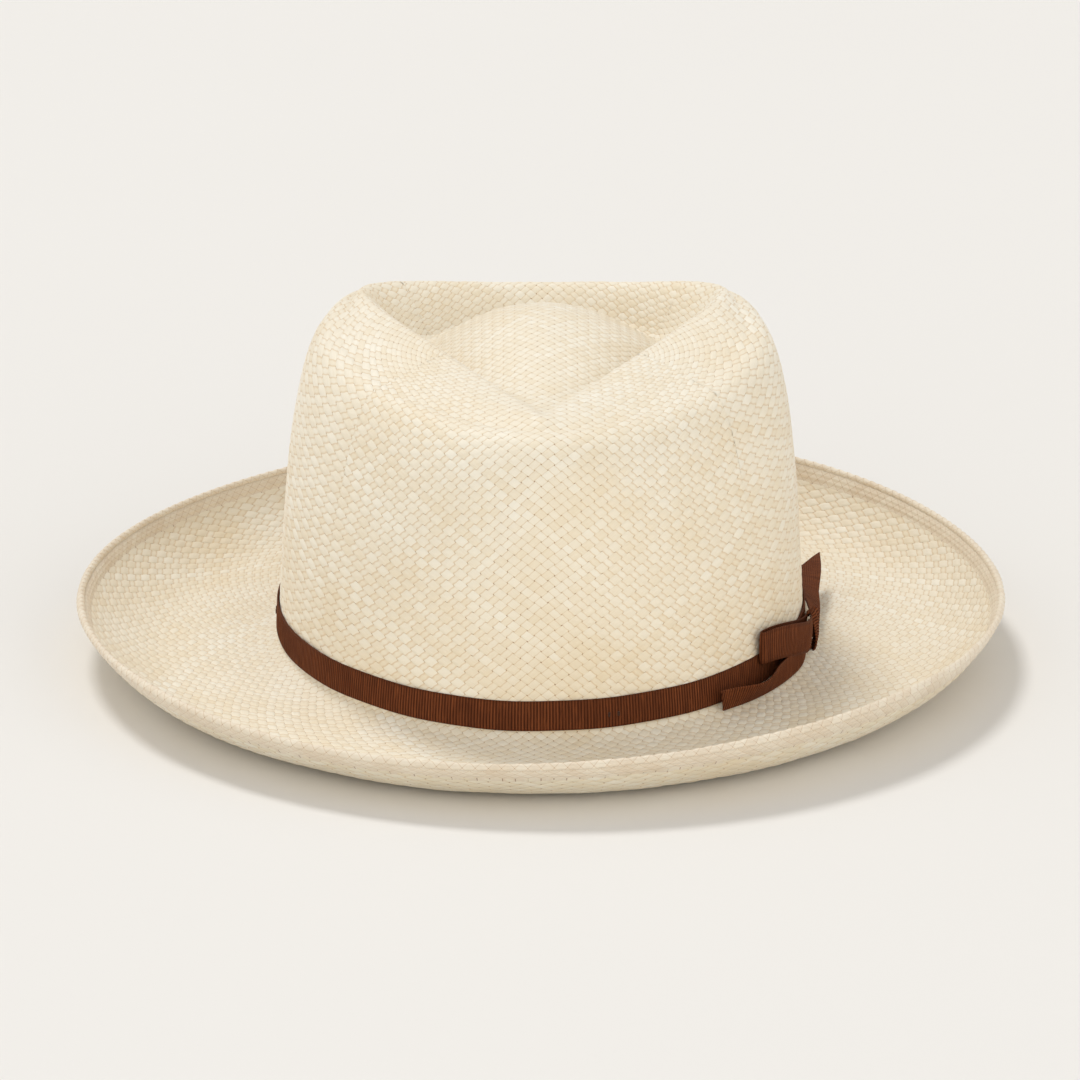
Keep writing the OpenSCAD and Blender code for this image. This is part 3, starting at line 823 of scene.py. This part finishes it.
def ribbon_material(name, dark, light, worn=0.25):
    """Grosgrain: fine ribs across the ribbon with painted light on their crests and painted shade in their
    troughs, a denser selvage, slight fading on the ribs.
    """
    n = Nodes(name)
    s, v, _ = n.attribute("rib")
    wave = n.math("SINE", n.math("MULTIPLY", s, 2 * math.pi / RIB))
    rib = n.ramp(wave, -1.0, 1.0)
    thread = n.noise(n.vector(n.math("MULTIPLY", s, 9.0), n.math("MULTIPLY", v, 3.0)), 2.0, 3.0, 0.65)
    slub = n.random(n.math("FLOOR", n.math("DIVIDE", s, RIB)), 4.4)
    streak = n.noise(n.vector(n.math("MULTIPLY", s, 1.7), n.math("MULTIPLY", v, 0.12)), 1.0, 4.0, 0.75)
    patch = n.noise(n.place(), 55.0, 3.0, 0.6)
    cross = n.math("SINE", n.math("MULTIPLY", v, 2 * math.pi * 2.6))
    # painted light and shade: each rib is lighter on its crest and darker in its trough, following the bump
    color = n.mix(n.ramp(rib, 0.15, 0.95), dark, light)
    color = n.mix(n.ramp(slub, 0.0, 1.0, 0.0, 0.3), color, dark)
    color = n.mix(n.ramp(streak, 0.5, 0.75, 0.0, 0.55), color, tuple(c * 1.6 for c in light))
    color = n.mix(n.ramp(streak, 0.5, 0.3, 0.0, 0.6), color, tuple(c * 0.6 for c in dark))
    pale = tuple(min(1.0, c * 2.1 + 0.02) for c in light)
    color = n.mix(n.ramp(thread, 0.45, 0.8, 0.0, worn), color, pale)
    color = n.mix(n.ramp(patch, 0.4, 0.75, 0.0, 0.3), color, dark)
    side = n.ramp(n.math("ABSOLUTE", v), RIBBON_W / 2 - 0.75, RIBBON_W / 2 - 0.45)
    color = n.mix(n.math("MULTIPLY", side, 0.35), color, dark)
    relief = n.math("ADD", n.math("MULTIPLY", rib, n.math("SUBTRACT", 1.0, n.math("MULTIPLY", side, 0.7))),
                    n.math("MULTIPLY", n.math("ADD", thread, n.math("MULTIPLY", cross, 0.12)), 0.3))
    normal = n.bump(relief, 0.00012, 0.75)
    return n.surface(color, n.ramp(rib, 0.0, 1.0, 0.82, 0.62), normal, Specular_IOR_Level=0.1)


def rib_relief(s, v, width):
    """Ribs across the ribbon, and a plain woven edge at each side."""
    side = smooth((np.abs(v) - (width / 2 - 0.7)) / 0.25)
    ribs = 0.055 * np.sin(2 * np.pi * s / RIB) * (1 - side)
    return ribs + 0.05 * side * smooth((width / 2 - np.abs(v)) / 0.25)


def band_low(f):
    """Height of the band's lower edge."""
    return BAND_Z + BAND_RISE * sideways(f)


def build_band(material):
    cols = 4400
    f = 360.0 * np.arange(cols + 1) / cols
    edge = wall_at(f, band_low(f) + RIBBON_W / 2, GAP)
    s = arc_lengths(edge)
    ribs = round(s[-1] / RIB)
    s = s / s[-1] * ribs * RIB
    half = RIBBON_W / 2
    v = np.concatenate([[-half], [-half, -half + 0.08], np.linspace(-half + 0.3, half - 0.3, 13),
                        [half - 0.08, half], [half]])
    out = np.concatenate([[0.04], [RIBBON_T * 0.6, RIBBON_T * 0.95], np.full(13, RIBBON_T),
                          [RIBBON_T * 0.95, RIBBON_T * 0.6], [0.04]])
    rows = []
    for vi, oi in zip(v, out):
        # the band follows the wall with the small waves of a hand-set ribbon
        lift = 0.12 * np.sin(np.radians(f * 7)) + 0.08 * np.sin(np.radians(f * 17 + 40))
        z = band_low(f) + half + vi + lift
        raise_by = rib_relief(s, vi, RIBBON_W) if oi > 0.3 else 0.0
        rows.append(wall_at(f, z, GAP + oi + raise_by))
    pts = np.stack(rows)
    attr = np.stack([np.broadcast_to(s, pts.shape[:2]), np.broadcast_to(v[:, None], pts.shape[:2]),
                     np.zeros(pts.shape[:2])], -1)
    quads = tube_quads(len(v), cols + 1, wrap_cols=False, wrap_rows=True)
    add_mesh("hat_band_ribbon", pts, quads, material, "hat_band", {"rib": attr})


def at(f, d, z):
    """A place outside the band: angle round the hat, distance out from the ribbon, height."""
    return wall_at(f, z, GAP + RIBBON_T + d)


def outward(f):
    """Straight out from the crown, level."""
    o = out_dir(np.asarray(f, float))
    return np.array([o[0], o[1], 0.0])


def along(f):
    """Round the crown, level, the way f grows."""
    a = oval(np.asarray(f + 1.0)) - oval(np.asarray(f - 1.0))
    return unit(np.array([a[0], a[1], 0.0]))


def smooth_curve(points, n):
    """Points of a Catmull-Rom curve at equal steps of arc length."""
    p = np.asarray(points, float)
    p = np.concatenate([2 * p[:1] - p[1:2], p, 2 * p[-1:] - p[-2:-1]])
    out = []
    for i in range(1, len(p) - 2):
        t = np.linspace(0, 1, 24, endpoint=False)[:, None]
        a, b, c, d = p[i - 1], p[i], p[i + 1], p[i + 2]
        out.append(0.5 * (2 * b + (c - a) * t + (2 * a - 5 * b + 4 * c - d) * t ** 2
                          + (3 * b - a - 3 * c + d) * t ** 3))
    out = np.concatenate(out + [p[-2:-1]])
    s = arc_lengths(out[:, :3])
    u = np.linspace(0, s[-1], n)
    return np.stack([np.interp(u, s, out[:, k]) for k in range(out.shape[1])], -1), s[-1]


def strip_section(width, thick):
    """A strip's cross section: places across it and half thickness, the front face and then the back."""
    half = width / 2
    v = np.concatenate([[-half, -half + 0.1], np.linspace(-half + 0.35, half - 0.35, 13), [half - 0.1, half]])
    o = np.concatenate([[0.0, 0.8], np.ones(13), [0.8, 0.0]]) * thick / 2
    return np.concatenate([v, v[-2:0:-1]]), np.concatenate([o, -o[-2:0:-1]]), len(v)


def strip_frames(curve, length, s):
    """Centre, across and outward direction at arc lengths s of a curve with rows of centre and across."""
    base = np.linspace(0, length, len(curve))
    inside = np.clip(s, 0, length)
    pos = [np.interp(inside, base, curve[:, k]) for k in range(6)]
    centre, across = np.stack(pos[:3], -1), unit(np.stack(pos[3:], -1))
    grad = np.gradient(curve[:, :3], axis=0)
    tangent = unit(np.stack([np.interp(inside, base, grad[:, k]) for k in range(3)], -1))
    centre = centre + tangent * (s - inside)[..., None]
    across = unit(across - tangent * (across * tangent).sum(-1, keepdims=True))
    return centre, across, unit(np.cross(across, tangent))


def end_caps(n, m, h):
    """Quads over the two cut ends of a strip of n sections, from front face to back face."""
    caps = []
    for start, flip in ((0, False), ((n - 1) * m, True)):
        front = np.arange(start, start + h)
        back = np.concatenate([[start], start + m - np.arange(1, h - 1), [start + h - 1]])
        quads = np.stack([front[:-1], front[1:], back[1:], back[:-1]], -1)[1:-1]
        caps.append(quads[:, ::-1] if flip else quads)
    return np.concatenate(caps)


def build_ribbon(name, node, centres, across, material, slot="ribbon", width=RIBBON_W,
                 thick=RIBBON_T, cut=(0.0, 0.0), cup=0.0, ribbed=True, step=0.16, extra=None):
    """A strip of ribbon along centres (mm), lying across the given directions, with real thickness.

    cut shears the two ends; cup bends the strip across its width; extra moves it out by extra(s, v)."""
    data = np.concatenate([np.asarray(centres, float), np.asarray(across, float)], 1)
    curve, length = smooth_curve(data, 400)
    n = max(int(length / step), 24)
    ring_v, ring_o, h = strip_section(width, thick)
    shear = ring_v[None, :] / width
    s = mix(cut[0] * shear, length + cut[1] * shear, np.linspace(0, 1, n)[:, None])
    centre, way, out = strip_frames(curve, length, s)
    v = np.broadcast_to(ring_v[None, :], s.shape)
    o = np.broadcast_to(ring_o[None, :], s.shape)
    relief = rib_relief(s, v, width) * np.sign(o) * (np.abs(o) > 0.1) if ribbed else 0.0
    push = o + relief + cup * (2 * v / width) ** 2
    if extra is not None:
        push = push + extra(s / length, 2 * v / width)
    pts = centre + way * v[..., None] + out * push[..., None]
    quads = np.concatenate([tube_quads(n, len(ring_v), wrap_rows=False), end_caps(n, len(ring_v), h)])
    middle = h // 2
    facing = np.cross(pts[1, middle] - pts[0, middle], pts[0, middle + 1] - pts[0, middle])
    if np.dot(facing, out[0, middle]) > 0:
        quads = quads[:, ::-1]
    add_mesh(name, pts, quads, material, node, {"rib": np.stack([s, v, np.sign(o)], -1)})


# ---- bow
KNOT_F, KNOT_Z = 80.5, 11.3             # place of the knot: degrees round the hat, and height
LOOP_LEN, REAR_LEN = 44.0, 66.0
LOOP_W, TAIL_W = RIBBON_W * 1.1, RIBBON_W * 0.86
KNOT_HALF_H, KNOT_OUT, KNOT_W = 6.6, 2.65, 6.8


def loop_path():
    """The loop goes forward in front, turns at its fold and comes back against the band."""
    end = KNOT_F - LOOP_LEN * 0.6
    top = KNOT_Z + 8.6
    path = []
    for s in np.linspace(0, 1, 13):
        path.append((mix(KNOT_F + 1, end, s), 2.1 + 2.2 * math.sin(math.pi * s) + 0.8 * s,
                     mix(KNOT_Z + 0.2, top, float(smooth(s)))))
    for a in (30, 60, 90, 120, 150):
        r = math.radians(a)
        path.append((end - 1.2 * math.sin(r), 1.7 + 1.2 * math.cos(r), top))
    for s in np.linspace(0, 1, 13):
        path.append((mix(end, KNOT_F + 1, s), 0.5, mix(top, KNOT_Z + 0.2, float(smooth(s)))))
    return path


def build_bow(material):
    build_loop(material)
    build_knot(material)
    build_front_tail(material)
    build_rear_tail(material)


def build_loop(material):
    pts = np.array([at(*p) for p in loop_path()])
    t = unit(np.gradient(pts, axis=0))
    z = np.array([0.0, 0.0, 1.0])
    across = unit(z - t * t[:, 2:])

    def relaxed(s, v):
        """The cloth bellies a little and its edges waver."""
        return 0.25 * np.sin(s * 9.0 + 1.0) * v - 0.35 * v * v + 0.12 * np.sin(s * 23.0 + v * 2.0)

    build_ribbon("bow_loop_ribbon", "bow_loop", pts, across, material, width=LOOP_W, extra=relaxed)


def build_knot(material):
    """A short piece of ribbon wrapped over the crossing, open towards the band."""
    o, t, c = outward(KNOT_F), along(KNOT_F), at(KNOT_F, 0.0, KNOT_Z)
    pts, across = [], []
    for a in np.linspace(-140, 140, 21):
        r = math.radians(a)
        pts.append(c + o * (KNOT_OUT + 2.0 * math.cos(r)) + np.array([0, 0, KNOT_HALF_H * math.sin(r)]))
        # the wrap is pulled slanting over the top
        across.append(unit(t + o * 0.25 * math.sin(r) + np.array([0, 0, 0.3 * math.cos(r)])))

    def folds(s, v):
        """Slanting pleats, with the sides turned down."""
        pleats = 0.26 * np.sin(v * 6.5 + s * 4.0) * smooth((1 - np.abs(v)) / 0.3)
        return pleats - 0.5 * v * v

    build_ribbon("bow_knot_ribbon", "bow_knot", pts, across, material, width=KNOT_W, extra=folds)


def build_front_tail(material):
    """Leaves the knot low, stands on the foot of the band and leans out past the loop."""
    pts, across = [], []
    for s in np.linspace(0, 1, 25):
        f = mix(KNOT_F, KNOT_F - 41.5, s)
        droop = 28 * math.exp(-((s - 0.76) / 0.15) ** 2)
        lean = math.radians(4 + droop + 10 * float(smooth((s - 0.7) / 0.3)))
        way = outward(f) * math.sin(lean) + np.array([0, 0, math.cos(lean)])
        foot = at(f, 1.25 + 1.9 * float(smooth(s / 0.3)) - 0.7 * float(smooth((s - 0.7) / 0.3)),
                  mix(6.2, 4.85, float(smooth(s / 0.35))))
        pts.append(foot + way * TAIL_W / 2)
        across.append(way)
    build_ribbon("bow_front_tail_ribbon", "bow_front_tail", pts, across, material,
                 width=TAIL_W, cut=(0.0, 3.3), cup=-0.25)


def build_rear_tail(material):
    """Runs straight back from the knot and twists to lie face up."""
    p0 = at(KNOT_F + 0.5, 2.9, KNOT_Z + 0.8)
    pts, across = [], []
    for s in np.linspace(0, 1, 25):
        turn = math.radians(mix(85, -12, 1 - (1 - s) ** 1.2))
        off = 0.9 * math.sin(math.pi * min(s / 0.6, 1.0)) + 1.7 * float(smooth((s - 0.5) / 0.5))
        pts.append(p0 + np.array([off, REAR_LEN * s, 0.6 * s]))
        across.append(np.array([-math.cos(turn), 0.0, math.sin(turn)]))
    build_ribbon("bow_rear_tail_ribbon", "bow_rear_tail", pts, across, material,
                 width=TAIL_W, cut=(0.0, -14.0), cup=0.3)


# ---- sweatband
SWEAT_OUT = -(STRAW_T + GAP + 0.35 + GAP)
SWEAT_Z, SWEAT_H, SWEAT_T = 9.4, 35.0, 1.0


def leather_material():
    """Tan leather with a fine grain."""
    n = Nodes("sweatband_leather")
    place = n.place()
    cells = n.add("ShaderNodeTexVoronoi", feature="DISTANCE_TO_EDGE")
    n.link(place, cells.inputs["Vector"])
    cells.inputs["Scale"].default_value = 900.0
    grain = n.ramp(cells.outputs["Distance"], 0.0, 0.25)
    cloud = n.noise(place, 30.0, 4.0, 0.6)
    fine = n.noise(place, 700.0, 2.0, 0.6)
    color = n.mix(n.ramp(cloud, 0.3, 0.7), srgb(150, 104, 66), srgb(178, 130, 86))
    color = n.mix(n.ramp(grain, 0.4, 0.0, 0.0, 0.35), color, srgb(96, 62, 38))
    relief = n.math("MULTIPLY_ADD", fine, 0.3, grain)
    return n.surface(color, n.ramp(cloud, 0.3, 0.7, 0.42, 0.58), n.bump(relief, 0.00012, 0.6),
                     Specular_IOR_Level=0.4)


def build_sweatband():
    cols, rows = 1200, 30
    f = angles(cols)
    t = np.linspace(0, 1, rows)
    ring = []

    def face(k, d):
        return wall_at(f, SWEAT_Z + SWEAT_H * k, d)

    def waver(k):
        return 0.15 * np.sin(np.radians(f * 5 + 30)) * k * 0.5

    def rounding(k):
        return 0.3 * max(0.0, (k - 0.97) / 0.03)

    for k in t:
        ring.append(face(k, SWEAT_OUT - rounding(k) - waver(k)))
    for k in t[::-1]:
        groove = 0.22 * math.exp(-((k - 0.05) / 0.02) ** 2)
        crease = 0.06 * np.sin(np.radians(f * 61)) * math.exp(-((k - 0.06) / 0.05) ** 2)
        ring.append(face(k, SWEAT_OUT - SWEAT_T + rounding(k) + groove - waver(k) + crease))
    quads = tube_quads(len(ring), cols)[:, ::-1]
    add_mesh("sweatband_leather", np.stack(ring), quads, leather_material(), "sweatband")


def cloth_material(name, low, high, scale=1400.0):
    """Spun thread or plain cloth between two tones."""
    n = Nodes(name)
    place = n.place()
    weave = n.add("ShaderNodeTexWave", wave_type="BANDS", bands_direction="Z")
    n.link(place, weave.inputs["Vector"])
    weave.inputs["Scale"].default_value = scale / 4
    weave.inputs["Distortion"].default_value = 1.0
    grain = n.noise(place, scale, 3.0, 0.65)
    cloud = n.noise(place, 60.0, 3.0, 0.6)
    both = n.math("MULTIPLY_ADD", weave.outputs["Fac"], 0.4, grain)
    color = n.mix(n.ramp(both, 0.3, 1.0), low, high)
    color = n.mix(n.ramp(cloud, 0.4, 0.8, 0.0, 0.25), color, low)
    return n.surface(color, 0.85, n.bump(both, 0.00015, 0.6), Specular_IOR_Level=0.25, Sheen_Weight=0.15)


REED_D, REED_Z, TAPE_T = 1.5, 7.5, 0.3
TAPE_R = (REED_D + 2 * GAP + 2 * TAPE_T) / 2
REED_OFF = -(STRAW_T + GAP + TAPE_R)


def build_tape():
    """The tape wraps the reed, and its two edges stand up behind the sweatband as a flange."""
    cols = 900
    f = angles(cols)

    def tube(r, a):
        q = oval(f, REED_OFF + r * math.cos(math.radians(a)))
        return np.concatenate([q, np.full((cols, 1), REED_Z + r * math.sin(math.radians(a)))], 1)

    flange_out = -(STRAW_T + GAP)
    flange_in = flange_out - 0.35
    ring = [wall_at(f, 13.4, flange_in), wall_at(f, 13.4, flange_out), wall_at(f, 10, flange_out)]
    ring += [tube(TAPE_R, -a) for a in np.linspace(0, 290, 25)]
    ring += [tube(TAPE_R - TAPE_T, -a) for a in np.linspace(290, 29, 23)]
    ring += [wall_at(f, 10, flange_in)]
    pts = np.stack(ring)
    mat = cloth_material("tape_cotton", srgb(196, 182, 152), srgb(226, 216, 192))
    add_mesh("reed_tape_cotton", pts, tube_quads(len(ring), cols)[:, ::-1], mat, "reed_tape")


def satin_loop(side):
    """Out along the front of one small loop, round its end and straight back."""
    path = []
    for s in np.linspace(0, 1, 7):
        path.append((side * (1.4 + 9.6 * s), -0.5 - 1.7 * math.sin(math.pi * s) - 0.5 * s, 1.6 * s))
    for a in np.radians([45, 90, 135]):
        path.append((side * (11 + 0.8 * math.sin(a)), -0.55 - 0.45 * math.cos(a), 1.6))
    for s in np.linspace(1, 0, 7):
        path.append((side * (1.4 + 9.6 * s), -0.1, 1.6 * s))
    return np.array(path)


def build_inner_bow():
    """The small satin bow at the back of the sweatband."""
    mat = ribbon_material("inner_bow_satin", srgb(52, 34, 24), srgb(84, 58, 42), worn=0.1)
    satin = dict(slot="bow_inner", thick=0.35, ribbed=False, step=0.3)
    back = wall_at(np.asarray(180.0), np.asarray(SWEAT_Z + 7), SWEAT_OUT - SWEAT_T - 0.35)
    for side, word in ((-1, "right"), (1, "left")):
        pts = satin_loop(side) + back + np.array([0, -0.2, 0])
        t = unit(np.gradient(pts, axis=0))
        across = unit(np.array([0, 0, 1.0]) - t * t[:, 2:])
        build_ribbon(f"inner_bow_loop_{word}", "sweatband_bow_loops", pts, across, mat, width=5.0, **satin)
    mid = back + np.array([0, -1.5, 0])
    turns = np.radians(np.linspace(50, 310, 13))
    pts = [mid + np.array([0, 1.0 * math.cos(a) - 0.2, 3.0 * math.sin(a)]) for a in turns]
    across = np.tile([1.0, 0, 0], (len(pts), 1))
    build_ribbon("inner_bow_knot_wrap", "sweatband_bow_knot", pts, across, mat, width=2.4, cup=-0.1, **satin)


def finish_cad_nodes():
    """The reed, tacks and stitches keep their CAD shape and get thread and reed materials."""
    dark = cloth_material("tack_thread", srgb(40, 24, 16), srgb(74, 46, 30), 2600.0)
    light = cloth_material("stitch_thread", srgb(214, 204, 180), srgb(244, 238, 222), 2600.0)
    reed = cloth_material("reed_fibre", srgb(206, 198, 176), srgb(232, 226, 208), 900.0)
    for node, mat in (("band_tacks", dark), ("sweatband_stitches", light), ("sweatband_reed", reed)):
        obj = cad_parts[node]
        obj.data.materials.clear()
        obj.data.materials.append(mat)


# ---- stage
FLOOR_HALF = 3.0
FLOOR_TONE = (0.825, 0.808, 0.780)


def build_floor():
    near, far = -FLOOR_HALF, 2 * FLOOR_HALF
    corners = [(-FLOOR_HALF, near, 0), (FLOOR_HALF, near, 0), (FLOOR_HALF, far, 0), (-FLOOR_HALF, far, 0)]
    mesh = bpy.data.meshes.new("floor")
    mesh.from_pydata(corners, [], [(0, 1, 2, 3)])
    obj = add_object("floor", mesh)
    n = Nodes("floor_white")
    tone = n.noise(n.place(), 3.0, 2.0, 0.5)
    color = n.mix(tone, FLOOR_TONE, tuple(c * 0.985 for c in FLOOR_TONE))
    mesh.materials.append(n.surface(color, 0.7, Specular_IOR_Level=0.2))


def add_sun(name, energy, softness, color, toward):
    """Light of even strength from one direction; softness is its width in degrees."""
    data = bpy.data.lights.new(name, "SUN")
    data.energy, data.angle, data.color = energy, math.radians(softness), color
    obj = add_object(name, data)
    obj.rotation_euler = Vector(toward).to_track_quat("Z", "Y").to_euler()


def build_lights():
    """A window high behind the hat on its right, and wide soft fills from the front and both sides."""
    world = bpy.data.worlds.new("studio")
    bpy.context.scene.world = world
    world.use_nodes = True
    back = world.node_tree.nodes["Background"]
    back.inputs["Color"].default_value = (1.0, 0.99, 0.975, 1)
    back.inputs["Strength"].default_value = 0.50
    add_sun("window", 1.4, 15, (1.0, 0.99, 0.975), (-0.3, 0.62, 1.0))
    add_sun("front_fill", 1.2, 80, (1.0, 0.985, 0.95), (-0.1, -1.0, 0.12))
    add_sun("right_fill", 1.0, 80, (1.0, 0.985, 0.96), (1.0, -0.5, 0.2))
    add_sun("left_fill", 0.55, 80, (1.0, 0.985, 0.96), (-1.0, -0.1, 0.2))


LENS = 180.4                # mm, on a sensor 36 mm wide
ELEVATION = 18.2            # degrees above level
DISTANCE = 1.8              # m, straight in front of the hat
TARGET = (-0.00033, 0.0, 0.0365)


def build_camera():
    data = bpy.data.cameras.new("camera")
    data.lens = LENS
    data.sensor_width = 36.0
    data.clip_start, data.clip_end = 0.1, 20.0
    cam = add_object("camera", data)
    tilt = math.radians(ELEVATION)
    away = Vector((0.0, -math.cos(tilt), math.sin(tilt)))
    cam.location = Vector(TARGET) + away * DISTANCE
    cam.rotation_euler = away.to_track_quat("Z", "Y").to_euler()
    bpy.context.scene.camera = cam


def main():
    scene = bpy.context.scene
    scene.view_settings.view_transform = "Standard"
    build_camera()
    build_floor()
    build_lights()
    build_crown()
    build_brim()
    build_edge()
    ribbon = ribbon_material("grosgrain_brown", srgb(66, 30, 12), srgb(120, 66, 36))
    build_band(ribbon)
    build_bow(ribbon)
    build_sweatband()
    build_tape()
    build_inner_bow()
    finish_cad_nodes()


main()
